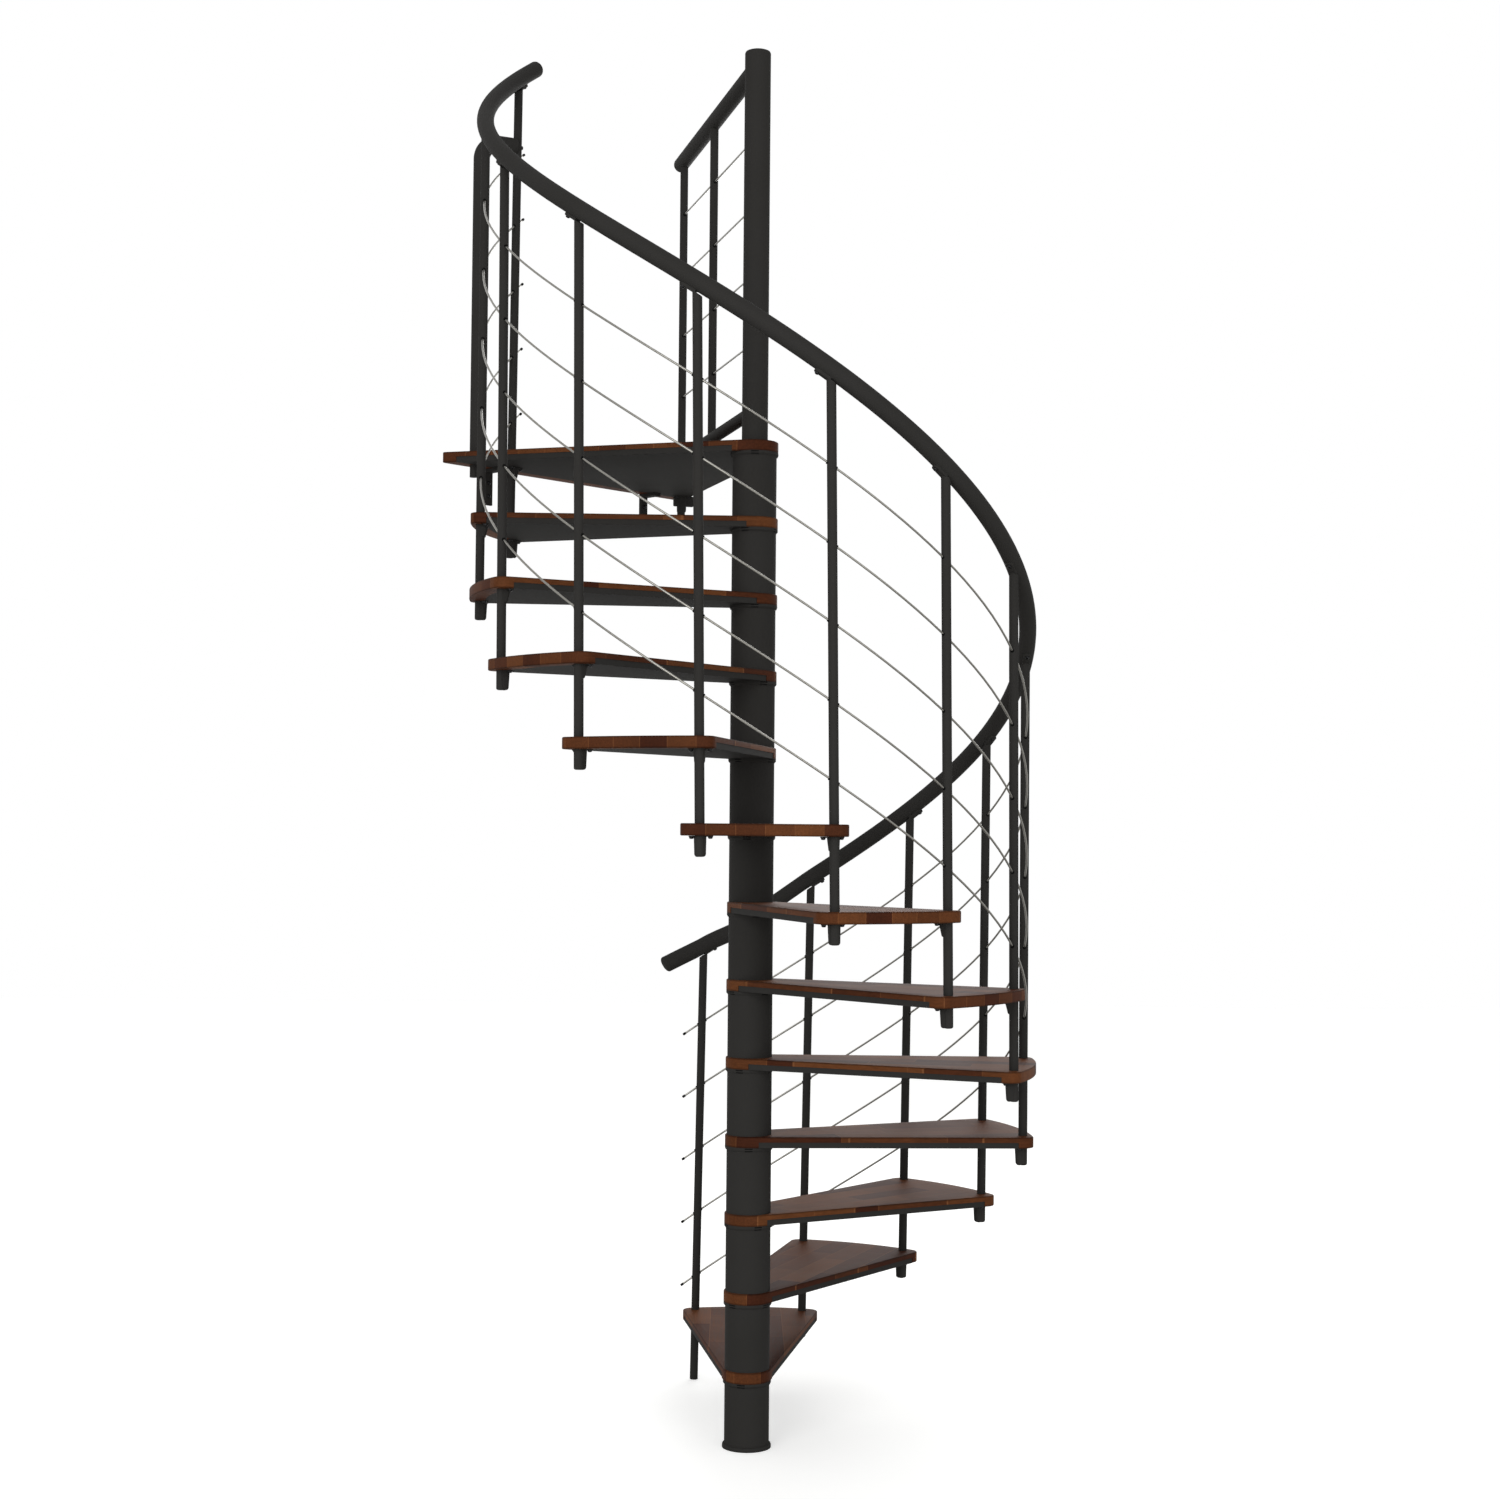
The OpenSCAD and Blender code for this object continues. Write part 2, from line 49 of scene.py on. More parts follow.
stair = {
    "firstBaluster": 102.0,    # direction of the first baluster, from +X
    "stepTurn": 25.26,         # from one baluster to the next
    "circle": 0.676,           # radius of the circle the balusters stand on
    "lean": 0.8,               # balusters lean towards the climb
    "leanPivot": 0.210,        # height over a tread at which they stand on the circle
    "landingTurn": 22.5,       # last baluster to the landing's centre line
}
treadNames = sorted(n for n in nodes if n.startswith("tread_") and n[6:].isdigit())
treadCount = len(treadNames)
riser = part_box("tread_02")[1].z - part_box("tread_01")[1].z
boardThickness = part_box("tread_01")[1].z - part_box("tread_01")[0].z
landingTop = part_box("landing_board")[1].z
slope = math.atan(riser / (stair["circle"] * math.radians(stair["stepTurn"])))
lean = math.radians(stair["lean"])


def balusterAngle(count):
    return math.radians(stair["firstBaluster"] - (count - 1) * stair["stepTurn"])


def leanShift(height):
    # along the climb, at that height over a baluster's own tread
    return (height - stair["leanPivot"]) * math.tan(lean)


def helixRise(height):
    # height of a helix over the circle, so that it meets the leaning balusters
    return height - leanShift(height) * math.tan(slope)


def placeAt(angle, radius, shift, z, tilt=0.0):
    # X along the climb, Y outwards, Z up; tilt turns X up the slope
    along = Vector((math.sin(angle), -math.cos(angle), 0))
    out = Vector((math.cos(angle), math.sin(angle), 0))
    turned = Matrix((along, out, Vector((0, 0, 1)))).transposed().to_4x4()
    spot = out * radius + along * shift + Vector((0, 0, z))
    return Matrix.Translation(spot) @ turned @ Matrix.Rotation(-tilt, 4, "Y")


def linear(hexColour):
    # sRGB hex to linear, with alpha
    parts = [int(hexColour[i:i + 2], 16) / 255 for i in (0, 2, 4)]
    return tuple(p / 12.92 if p <= 0.04045 else ((p + 0.055) / 1.055) ** 2.4 for p in parts) + (1.0,)


def addNode(tree, kind, settings=None, inputs=None):
    # one node with its settings; an input is a value or another node's output
    made = tree.nodes.new(kind)
    for name, value in (settings or {}).items():
        setattr(made, name, value)
    for name, value in (inputs or {}).items():
        if isinstance(value, bpy.types.NodeSocket):
            tree.links.new(value, made.inputs[name])
        else:
            made.inputs[name].default_value = value
    return made


def newMaterial(name):
    # an empty material, its tree and its shader
    made = bpy.data.materials.new(name)
    made.use_nodes = True
    return made, made.node_tree, made.node_tree.nodes["Principled BSDF"]


def giveMaterial(piece, material):
    piece.data.materials.clear()
    piece.data.materials.append(material)


# camera, light and floor

studio = {
    "cameraPlace": (0.0, -5.4481, 1.4997),
    "cameraTilt": 0.0377,       # above the horizon, radians
    "cameraRoll": 0.0085,
    "cameraYaw": -0.001,
    "lens": 52.83,              # millimetres, and so is the sensor
    "sensor": 36,
    "farEnd": 100,              # how far the camera sees
    "softLight": 0.62,          # the room's own light on the object
    "wallWhite": 1.0,           # the room as the camera and reflections see it
    "lampTarget": (0, 0, 1.5),
    "floor": "DADAD8",
    "floorRoughness": 0.9,
    "floorDrop": 0.0005,        # just under the base
    "floorHalf": 14.0,
    "floorGlow": 0.53,          # brings the lit floor to white for the camera
    "mirroredGlow": 0.2,        # how much of that a reflection shows
}
lamps = {
    "keyLamp": {"place": (-2.6, -5.6, 3.2), "size": 3.0, "power": 130},
    "fillLamp": {"place": (2.4, -5.8, 1.5), "size": 3.5, "power": 85},
    "backLamp": {"place": (1.0, 5.2, 3.6), "size": 3.0, "power": 80},
}
white = linear("FFFFFF")

cameraData = bpy.data.cameras.new("camera")
cameraData.lens = studio["lens"]
cameraData.sensor_width = studio["sensor"]
cameraData.clip_end = studio["farEnd"]
camera = bpy.data.objects.new("camera", cameraData)
bpy.context.scene.collection.objects.link(camera)
camera.matrix_world = (
    Matrix.Translation(studio["cameraPlace"])
    @ Matrix.Rotation(-studio["cameraYaw"], 4, "Z")
    @ Matrix.Rotation(math.pi / 2 + studio["cameraTilt"], 4, "X")
    @ Matrix.Rotation(studio["cameraRoll"], 4, "Z")
)
bpy.context.scene.camera = camera


def seenDirectly(tree, inMirror):
    # 1 for rays from the camera or through glass, and inMirror for reflections
    rays = addNode(tree, "ShaderNodeLightPath")
    mirrored = addNode(tree, "ShaderNodeMath", {"operation": "MULTIPLY"},
                       {0: rays.outputs["Is Glossy Ray"], 1: inMirror})
    shown = addNode(tree, "ShaderNodeMath", {"operation": "MAXIMUM"},
                    {0: rays.outputs["Is Camera Ray"], 1: mirrored.outputs[0]})
    shown = addNode(tree, "ShaderNodeMath", {"operation": "MAXIMUM"},
                    {0: shown.outputs[0], 1: rays.outputs["Is Transmission Ray"]})
    return shown.outputs[0]


world = bpy.data.worlds.new("studio")
bpy.context.scene.world = world
world.use_nodes = True
worldTree = world.node_tree
worldTree.nodes.clear()
softLight = addNode(worldTree, "ShaderNodeBackground", None,
                    {"Strength": studio["softLight"], "Color": white})
whiteWall = addNode(worldTree, "ShaderNodeBackground", None,
                    {"Strength": studio["wallWhite"], "Color": white})
wallMix = addNode(worldTree, "ShaderNodeMixShader", None,
                  {0: seenDirectly(worldTree, 1.0), 1: softLight.outputs[0], 2: whiteWall.outputs[0]})
addNode(worldTree, "ShaderNodeOutputWorld", None, {"Surface": wallMix.outputs[0]})

for lampName, values in lamps.items():
    lampData = bpy.data.lights.new(lampName, "AREA")
    lampData.size = values["size"]
    lampData.energy = values["power"]
    lamp = bpy.data.objects.new(lampName, lampData)
    bpy.context.scene.collection.objects.link(lamp)
    away = Vector(values["place"]) - Vector(studio["lampTarget"])
    turned = away.to_track_quat("Z", "Y").to_matrix().to_4x4()
    lamp.matrix_world = Matrix.Translation(values["place"]) @ turned

bpy.context.scene.view_settings.view_transform = "Standard"

bpy.ops.object.select_all(action="DESELECT")
bpy.ops.mesh.primitive_plane_add(size=2 * studio["floorHalf"], location=(0, 0, -studio["floorDrop"]))
floor = bpy.context.active_object
floor.name = "studioFloor"
floorMaterial, floorTree, floorPaint = newMaterial("paintedStudioFloor")   # matt white paint
floorPaint.inputs["Base Color"].default_value = linear(studio["floor"])
floorPaint.inputs["Roughness"].default_value = studio["floorRoughness"]
floorGlow = addNode(floorTree, "ShaderNodeEmission", None, {"Color": white})
glowLevel = addNode(floorTree, "ShaderNodeMath", {"operation": "MULTIPLY"},
                    {0: seenDirectly(floorTree, studio["mirroredGlow"]), 1: studio["floorGlow"]})
floorTree.links.new(glowLevel.outputs[0], floorGlow.inputs["Strength"])
floorSum = addNode(floorTree, "ShaderNodeAddShader", None,
                   {0: floorPaint.outputs[0], 1: floorGlow.outputs[0]})
floorTree.links.new(floorSum.outputs[0], floorTree.nodes["Material Output"].inputs["Surface"])
giveMaterial(floor, floorMaterial)
print("studio set")


# materials

def powderCoatedSteel():
    # polyester powder coat, anthracite: satin, with a faint orange peel that breaks up the highlights
    settings = {
        "colour": "323130",
        "shade": "2D2C2A",
        "cloud": 0.18,             # size of the patches in which the tint changes
        "peel": 0.003,             # real orange peel is 1 mm or less; drawn larger so that it shows
        "roughness": (0.61, 0.73),
        "bump": 0.12,
        "bumpHeight": 0.0003,
        "specular": 0.03,
    }
    made, tree, shader = newMaterial("powderCoatedSteel")
    place = addNode(tree, "ShaderNodeTexCoord").outputs["Object"]
    cloud = addNode(tree, "ShaderNodeTexNoise", None,
                    {"Vector": place, "Scale": 1 / settings["cloud"], "Detail": 3.0})
    tint = addNode(tree, "ShaderNodeMix", {"data_type": "RGBA"},
                   {"Factor": cloud.outputs["Fac"], "A": linear(settings["shade"]),
                    "B": linear(settings["colour"])})
    tree.links.new(tint.outputs["Result"], shader.inputs["Base Color"])
    peel = addNode(tree, "ShaderNodeTexNoise", None,
                   {"Vector": place, "Scale": 1 / settings["peel"], "Detail": 2.0})
    gloss = addNode(tree, "ShaderNodeMapRange", None,
                    {"Value": peel.outputs["Fac"], "To Min": settings["roughness"][0],
                     "To Max": settings["roughness"][1]})
    tree.links.new(gloss.outputs["Result"], shader.inputs["Roughness"])
    bump = addNode(tree, "ShaderNodeBump", None,
                   {"Strength": settings["bump"], "Distance": settings["bumpHeight"],
                    "Height": peel.outputs["Fac"]})
    tree.links.new(bump.outputs["Normal"], shader.inputs["Normal"])
    shader.inputs["Specular IOR Level"].default_value = settings["specular"]
    return made


def stainedBeech():
    # finger-jointed beech, walnut stain and satin varnish: staves of unlike tone with thin joint lines
    settings = {
        "dark": "3B1C10",
        "light": "61391F",
        "joint": "72482B",
        "jointWidth": 0.0007,
        "staveWidth": 0.064,
        "staveLength": 0.31,
        "staveShift": 0.42,        # of a stave's length, from row to row
        "grain": 0.0045,           # growth rings and flecks, drawn coarser than beech's own to show
        "grainLength": 0.11,
        "grainTone": (0.80, 1.16),
        "cloud": 0.09,             # size of the patches in which the tone drifts
        "cloudTone": (0.88, 1.12),
        "edgeShadeWidth": 0.0045,       # painted shade: darker in this width along the rounded edges of the rim
        "edgeFull": 0.0008,
        "edgeTone": 0.45,
        "rimFacing": (0.75, 0.98),     # how far a face looks up, from the rim to the board's flat
        "noiseSpan": (0.3, 0.7),       # the part of the noise that gives the whole change of tone
        "roughness": (0.52, 0.68),
        "bump": 0.15,
        "bumpHeight": 0.0004,
        "specular": 0.05,
    }
    made, tree, shader = newMaterial("stainedBeech")
    place = addNode(tree, "ShaderNodeAttribute", {"attribute_name": "planks"}).outputs["Vector"]
    staves = addNode(tree, "ShaderNodeTexBrick",
                     {"offset": settings["staveShift"], "offset_frequency": 2, "squash": 0.8,
                      "squash_frequency": 3},
                     {"Vector": place, "Scale": 1.0, "Mortar Size": settings["jointWidth"],
                      "Mortar Smooth": 0.6, "Bias": 0.0, "Brick Width": settings["staveLength"],
                      "Row Height": settings["staveWidth"], "Color1": linear(settings["dark"]),
                      "Color2": linear(settings["light"]), "Mortar": linear(settings["joint"])})
    fine = 1 / settings["grain"]
    stretched = addNode(tree, "ShaderNodeMapping", None,
                        {"Vector": place, "Scale": (1 / settings["grainLength"], fine, fine)})
    grain = addNode(tree, "ShaderNodeTexNoise", None,
                    {"Vector": stretched.outputs[0], "Scale": 1.0, "Detail": 4.0, "Roughness": 0.6})
    cloud = addNode(tree, "ShaderNodeTexNoise", None,
                    {"Vector": place, "Scale": 1 / settings["cloud"], "Detail": 2.0})
    noiseLow, noiseHigh = settings["noiseSpan"]
    grainTone = addNode(tree, "ShaderNodeMapRange", None,
                        {"Value": grain.outputs["Fac"], "From Min": noiseLow, "From Max": noiseHigh,
                         "To Min": settings["grainTone"][0], "To Max": settings["grainTone"][1]})
    cloudTone = addNode(tree, "ShaderNodeMapRange", None,
                        {"Value": cloud.outputs["Fac"], "From Min": noiseLow, "From Max": noiseHigh,
                         "To Min": settings["cloudTone"][0], "To Max": settings["cloudTone"][1]})
    tone = addNode(tree, "ShaderNodeMath", {"operation": "MULTIPLY"},
                   {0: grainTone.outputs["Result"], 1: cloudTone.outputs["Result"]})
    # painted shade: darker lines along the top and bottom of the rim, where its edges round over
    halfBoard = boardThickness / 2
    height = addNode(tree, "ShaderNodeSeparateXYZ", None, {"Vector": place}).outputs["Z"]
    fromMiddle = addNode(tree, "ShaderNodeMath", {"operation": "ADD"}, {0: height, 1: halfBoard})
    fromMiddle = addNode(tree, "ShaderNodeMath", {"operation": "ABSOLUTE"}, {0: fromMiddle.outputs[0]})
    nearEdge = addNode(tree, "ShaderNodeMapRange", None,
                       {"Value": fromMiddle.outputs[0], "From Min": halfBoard - settings["edgeShadeWidth"],
                        "From Max": halfBoard - settings["edgeFull"]})
    upwards = addNode(tree, "ShaderNodeSeparateXYZ", None,
                      {"Vector": addNode(tree, "ShaderNodeTexCoord").outputs["Normal"]}).outputs["Z"]
    upwards = addNode(tree, "ShaderNodeMath", {"operation": "ABSOLUTE"}, {0: upwards})
    onRim = addNode(tree, "ShaderNodeMapRange", None,
                    {"Value": upwards.outputs[0], "From Min": settings["rimFacing"][0],
                     "From Max": settings["rimFacing"][1], "To Min": 1.0, "To Max": 0.0})
    paintedEdgeShade = addNode(tree, "ShaderNodeMath", {"operation": "MULTIPLY"},
                    {0: nearEdge.outputs["Result"], 1: onRim.outputs["Result"]})
    edgeShadeTone = addNode(tree, "ShaderNodeMapRange", None,
                        {"Value": paintedEdgeShade.outputs[0], "To Min": 1.0, "To Max": settings["edgeTone"]})
    tone = addNode(tree, "ShaderNodeMath", {"operation": "MULTIPLY"},
                   {0: tone.outputs[0], 1: edgeShadeTone.outputs["Result"]})
    colour = addNode(tree, "ShaderNodeVectorMath", {"operation": "SCALE"},
                     {0: staves.outputs["Color"], "Scale": tone.outputs[0]})
    tree.links.new(colour.outputs["Vector"], shader.inputs["Base Color"])
    gloss = addNode(tree, "ShaderNodeMapRange", None,
                    {"Value": grain.outputs["Fac"], "To Min": settings["roughness"][0],
                     "To Max": settings["roughness"][1]})
    tree.links.new(gloss.outputs["Result"], shader.inputs["Roughness"])
    bump = addNode(tree, "ShaderNodeBump", None,
                   {"Strength": settings["bump"], "Distance": settings["bumpHeight"],
                    "Height": grain.outputs["Fac"]})
    tree.links.new(bump.outputs["Normal"], shader.inputs["Normal"])
    shader.inputs["Specular IOR Level"].default_value = settings["specular"]
    return made


def patchyGloss(name, colour, patch, roughness, metallic=0.0, specular=None):
    # a plain colour whose gloss varies in patches of that size
    made, tree, shader = newMaterial(name)
    place = addNode(tree, "ShaderNodeTexCoord").outputs["Object"]
    patches = addNode(tree, "ShaderNodeTexNoise", None, {"Vector": place, "Scale": 1 / patch, "Detail": 2.0})
    gloss = addNode(tree, "ShaderNodeMapRange", None,
                    {"Value": patches.outputs["Fac"], "To Min": roughness[0], "To Max": roughness[1]})
    tree.links.new(gloss.outputs["Result"], shader.inputs["Roughness"])
    shader.inputs["Base Color"].default_value = linear(colour)
    shader.inputs["Metallic"].default_value = metallic
    if specular is not None:
        shader.inputs["Specular IOR Level"].default_value = specular
    return made


steel = powderCoatedSteel()
wood = stainedBeech()
# cold-drawn bar: bright, with fine die marks that blur the reflection, drawn larger to show
stainless = patchyGloss("drawnStainless", "8C8A84", 0.0015, (0.22, 0.38), metallic=1.0)
# moulded nylon: matt and near black, darker than the powder coat; its texture is drawn larger to show. The
# same near black is the painted shade in the collar slots
nylonAndSlotShade = patchyGloss("blackNylonAndSlotShade", "0D0D0D", 0.002, (0.5, 0.66), specular=0.04)
# black-oxide screws: dark metal with a soft oily shine in small blotches
screwSteel = patchyGloss("blackenedScrewSteel", "2C2C2D", 0.004, (0.3, 0.45), metallic=1.0)
for nodeName, node in nodes.items():
    isRod = nodeName.startswith("rod_") or nodeName == "guard_rods"
    giveMaterial(node, stainless if isRod else steel)
print("materials made")


# help for modelling

slack = 0.00001            # when points are picked by their place
wideSlack = 0.0001
rimSlack = 0.0005
facing = 0.99              # how squarely a face that is picked looks along an axis
mergeWithin = 0.000005     # points nearer than this become one
uprightRise = 0.001        # an edge that climbs more than this is upright


def leaveEditMode():
    if bpy.context.mode != "OBJECT":
        bpy.ops.object.mode_set(mode="OBJECT")


def selectOnly(piece):
    leaveEditMode()
    bpy.ops.object.select_all(action="DESELECT")
    piece.select_set(True)
    bpy.context.view_layer.objects.active = piece


def startShape(primitive, **settings):
    # one primitive at its size and place, to be shaped further
    leaveEditMode()
    bpy.ops.object.select_all(action="DESELECT")
    primitive(**settings)
    bpy.ops.object.transform_apply(location=True, rotation=True, scale=True)
    return bpy.context.active_object


def editSelected(piece, kind, elements, test):
    # edit mode, with the elements that pass the test selected
    selectOnly(piece)
    bpy.ops.object.mode_set(mode="EDIT")
    bpy.ops.mesh.select_mode(type=kind)
    bpy.ops.mesh.select_all(action="DESELECT")
    bpy.ops.object.mode_set(mode="OBJECT")
    for element in elements:
        element.select = test(element)
    bpy.ops.object.mode_set(mode="EDIT")


def editVerts(piece, test):
    editSelected(piece, "VERT", piece.data.vertices, lambda vert: test(vert.co))


def editFaces(piece, test):
    editSelected(piece, "FACE", piece.data.polygons, test)


def editEdges(piece, test):
    # the test is given the edge's two ends
    verts = piece.data.vertices
    editSelected(piece, "EDGE", piece.data.edges, lambda edge: test(*[verts[v].co for v in edge.vertices]))


def upright(a, b):
    # an edge of a box that runs up, not along
    return abs(a.z - b.z) > uprightRise


def bevelSelected(size, steps):
    bpy.ops.mesh.bevel(offset=size, segments=steps, affect="EDGES")
    bpy.ops.object.mode_set(mode="OBJECT")


def roundBelow(piece, height, size, steps):
    # rounds the edges that lie lower than that height
    editVerts(piece, lambda co: co.z < height)
    bpy.ops.mesh.select_mode(type="EDGE")
    bevelSelected(size, steps)


def cutAway(piece, place, away):
    # removes what lies past a plane and closes the cut
    editVerts(piece, lambda co: True)
    bpy.ops.mesh.bisect(plane_co=place, plane_no=away, use_fill=True, clear_outer=True)


def closeUp(piece, smoothAngle=35.0):
    # leaves edit mode with doubles merged, faces outwards and curved faces smooth
    if bpy.context.mode != "EDIT_MESH":
        selectOnly(piece)
        bpy.ops.object.mode_set(mode="EDIT")
    bpy.ops.mesh.select_all(action="SELECT")
    bpy.ops.mesh.remove_doubles(threshold=mergeWithin)
    bpy.ops.mesh.normals_make_consistent(inside=False)
    bpy.ops.object.mode_set(mode="OBJECT")
    bpy.ops.object.shade_smooth_by_angle(angle=math.radians(smoothAngle))


def applyModifiers(piece):
    selectOnly(piece)
    for modifier in list(piece.modifiers):
        bpy.ops.object.modifier_apply(modifier=modifier.name)


def copyTo(master, matrices, name, keep=False):
    # one piece out of a copy of the master at every place; the master goes unless it is kept
    copies = []
    for matrix in matrices:
        made = bpy.data.objects.new(name, master.data.copy())
        bpy.context.scene.collection.objects.link(made)
        made.data.transform(matrix)
        copies.append(made)
    bpy.ops.object.select_all(action="DESELECT")
    for made in copies:
        made.select_set(True)
    bpy.context.view_layer.objects.active = copies[0]
    bpy.ops.object.join()
    if not keep:
        bpy.data.objects.remove(master)
    copies[0].name = name
    return copies[0]


def addPiece(piece, material, slotName, *stoodFor):
    giveMaterial(piece, material)
    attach(piece, "root")
    if stoodFor:
        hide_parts(*stoodFor)


# handrail and rods: a ring carried up the helix

stepLength = riser / math.sin(slope)      # one step, along the helix


def stepFrame(step, rise):
    # on the helix, that many steps up from the first baluster, X up the slope
    return placeAt(balusterAngle(step + 1), stair["circle"], 0, (step + 1) * riser + rise, slope)


def climbingTube(name, radius, sides, over, rise, ringsPerStep):
    # from the first baluster to the last, and that far past both
    fromStep, toStep = -over / stepLength, treadCount + over / stepLength
    span = toStep - fromStep
    start = stepFrame(fromStep, rise)
    piece = startShape(
        bpy.ops.mesh.primitive_circle_add, vertices=sides, radius=radius, fill_type="NOTHING",
        location=start.translation, rotation=(start @ Matrix.Rotation(math.pi / 2, 4, "Y")).to_euler())
    piece.name = name
    climb = piece.modifiers.new("climb", "SCREW")
    climb.axis = "Z"
    climb.angle = -math.radians(stair["stepTurn"]) * span
    climb.screw_offset = riser * span
    climb.steps = climb.render_steps = math.ceil(ringsPerStep * span)
    climb.use_normal_calculate = True
    applyModifiers(piece)
    return piece


def roundEnd(piece, place, way, radius, cap):
    # draws the open rim at place out along X (way +1 or -1) to a flat end with a round edge
    centre = place.translation
    along = place.to_3x3() @ Vector((way, 0, 0))
    nearby = 1.2 * radius      # leaves out the rest of the helix
    editVerts(piece, lambda co: abs((co - centre).dot(along)) < wideSlack and (co - centre).length < nearby)
    reach, size = 0.0, 1.0
    for ring in range(1, cap["rings"] + 1):
        turn = math.pi / 2 * ring / cap["rings"]
        newReach = cap["length"] * math.sin(turn)
        newSize = cap["flat"] + (1 - cap["flat"]) * math.cos(turn)
        scaling = newSize / size
        bpy.ops.mesh.extrude_region_move(TRANSFORM_OT_translate={"value": along * (newReach - reach)})
        bpy.ops.transform.resize(value=(scaling, scaling, scaling), center_override=centre + along * newReach)
        reach, size = newReach, newSize
    bpy.ops.mesh.edge_face_add()
    bpy.ops.object.mode_set(mode="OBJECT")


def roundBothEnds(piece, over, rise, radius, cap):
    for step, way in ((-over / stepLength, -1), (treadCount + over / stepLength, 1)):
        roundEnd(piece, stepFrame(step, rise), way, radius, cap)


rail = {
    "radius": 0.021,
    "rise": 0.999,         # axis over a tread, at that tread's baluster
    "over": 0.112,         # past the end balusters
    "cap": {"length": 0.009, "flat": 0.5, "rings": 5},     # flat: share of the radius
    "sides": 32,
    "rings": 12,
    # its lower end is bent flatter: height added at each step, straight between
    "bend": ((-0.50, 0.0239), (-0.03, 0.001), (0.085, -0.002), (0.30, -0.015), (0.65, -0.007), (1.0, 0.0)),
    "bendTop": 2.2,        # the bend stays under this many risers
}


def bendRail(piece):
    # moves the points of the first step up or down
    top = riser * rail["bendTop"] + rail["rise"]
    for vert in piece.data.vertices:
        step = (stair["firstBaluster"] - math.degrees(math.atan2(vert.co.y, vert.co.x))) / stair["stepTurn"]
        for (fromStep, fromRise), (toStep, toRise) in zip(rail["bend"], rail["bend"][1:]):
            if fromStep < step <= toStep and vert.co.z < top:
                vert.co.z += fromRise + (toRise - fromRise) * (step - fromStep) / (toStep - fromStep)
                break


def makeHandrail():
    rise = helixRise(rail["rise"])
    piece = climbingTube("handrailTube", rail["radius"], rail["sides"], rail["over"], rise, rail["rings"])
    roundBothEnds(piece, rail["over"], rise, rail["radius"], rail["cap"])
    bendRail(piece)
    closeUp(piece)
    addPiece(piece, steel, "painted_steel", "handrail", "handrail_ends")


makeHandrail()

rods = {
    "radius": 0.0025,
    "first": 0.094,        # over a tread, at that tread's baluster
    "pitch": 0.173,
    "count": 5,
    "over": 0.047,
    "cap": {"length": 0.0005, "flat": 0.7, "rings": 2},
    "sides": 12,
    "rings": 8,
}


def makeRod(count):
    name = "infillRod_%d" % (count + 1)
    rise = helixRise(rods["first"] + count * rods["pitch"])
    piece = climbingTube(name, rods["radius"], rods["sides"], rods["over"], rise, rods["rings"])
    roundBothEnds(piece, rods["over"], rise, rods["radius"], rods["cap"])
    closeUp(piece)
    addPiece(piece, stainless, "stainless", "rod_%d" % (count + 1))


for rodCount in range(rods["count"]):
    makeRod(rodCount)
print("handrail and rods made")


# boards: the CAD boards with their edges rounded over and a stave pattern of their own

board = {
    "edge": 0.0028,            # radius of the rounded edge
    "edgeSteps": 3,
    "rimFrom": 0.6645,         # the boards are full thickness from here out
    "holeKeep": 0.018,         # edges nearer than this to a hole's axis stay sharp
    "hub": 0.045,
    "merge": 0.00002,
    "flatTurn": 0.4,           # degrees under which two faces are made one
    "sharpTurn": 40.0,         # degrees over which an edge may be rounded
    "smoothTurn": 28.0,
    # the stave pattern on each board, turned and moved so that no two match
    "seed": 7,
    "planksTurn": 3.0,
    "planksShift": 4.0,
    "landingPlanksTurn": 90.0,
    "landingPlanksShift": (0.13, 0.21, 0),
}


def sharpEdges(mesh):
    # the edges whose two faces turn sharply
    normals = {}
    for face in mesh.polygons:
        for key in face.edge_keys:
            normals.setdefault(key, []).append(face.normal.copy())
    limit = math.cos(math.radians(board["sharpTurn"]))
    return {key for key, pair in normals.items() if len(pair) == 2 and pair[0].dot(pair[1]) < limit}


def roundedBoard(nodeName, own, holes):
    # copy of the CAD board in its own frame, X outwards and its top at 0, with round outer edges
    mesh = nodes[nodeName].data.copy()
    piece = bpy.data.objects.new("board", mesh)
    bpy.context.scene.collection.objects.link(piece)
    mesh.transform(own.inverted())
    selectOnly(piece)
    bpy.ops.mesh.customdata_custom_splitnormals_clear()
    bpy.ops.object.mode_set(mode="EDIT")
    bpy.ops.mesh.select_all(action="SELECT")
    bpy.ops.mesh.remove_doubles(threshold=board["merge"])
    bpy.ops.mesh.dissolve_limited(angle_limit=math.radians(board["flatTurn"]))
    bpy.ops.object.mode_set(mode="OBJECT")
    sharp = sharpEdges(mesh)

    def onRim(edge):
        a, b = (mesh.vertices[v].co for v in edge.vertices)
        middle = (a + b) / 2
        flatTop = max(abs(a.z), abs(b.z)) < wideSlack and middle.xy.length > board["hub"]
        lowRim = max(abs(a.z + boardThickness), abs(b.z + boardThickness)) < wideSlack
        lowRim = lowRim and max(middle.x, middle.xy.length * holes["round"]) > board["rimFrom"]
        clear = all((middle.xy - Vector(hole)).length > board["holeKeep"] for hole in holes["places"])
        return tuple(sorted(edge.vertices)) in sharp and (flatTop or lowRim) and clear

    editSelected(piece, "EDGE", mesh.edges, onRim)
    bevelSelected(board["edge"], board["edgeSteps"])
    bpy.ops.object.shade_smooth_by_angle(angle=math.radians(board["smoothTurn"]))
    return piece


def markPlanks(mesh, turn, shift):
    # the stave pattern's place: the board's own frame, turned and moved
    turned = Matrix.Rotation(math.radians(turn), 4, "Z") @ Matrix.Translation(shift)
    planks = mesh.attributes.new("planks", "FLOAT_VECTOR", "POINT")
    planks.data.foreach_set("vector", [x for vert in mesh.vertices for x in turned @ vert.co])


def polar(radius, angle):
    return (radius * math.cos(angle), radius * math.sin(angle))


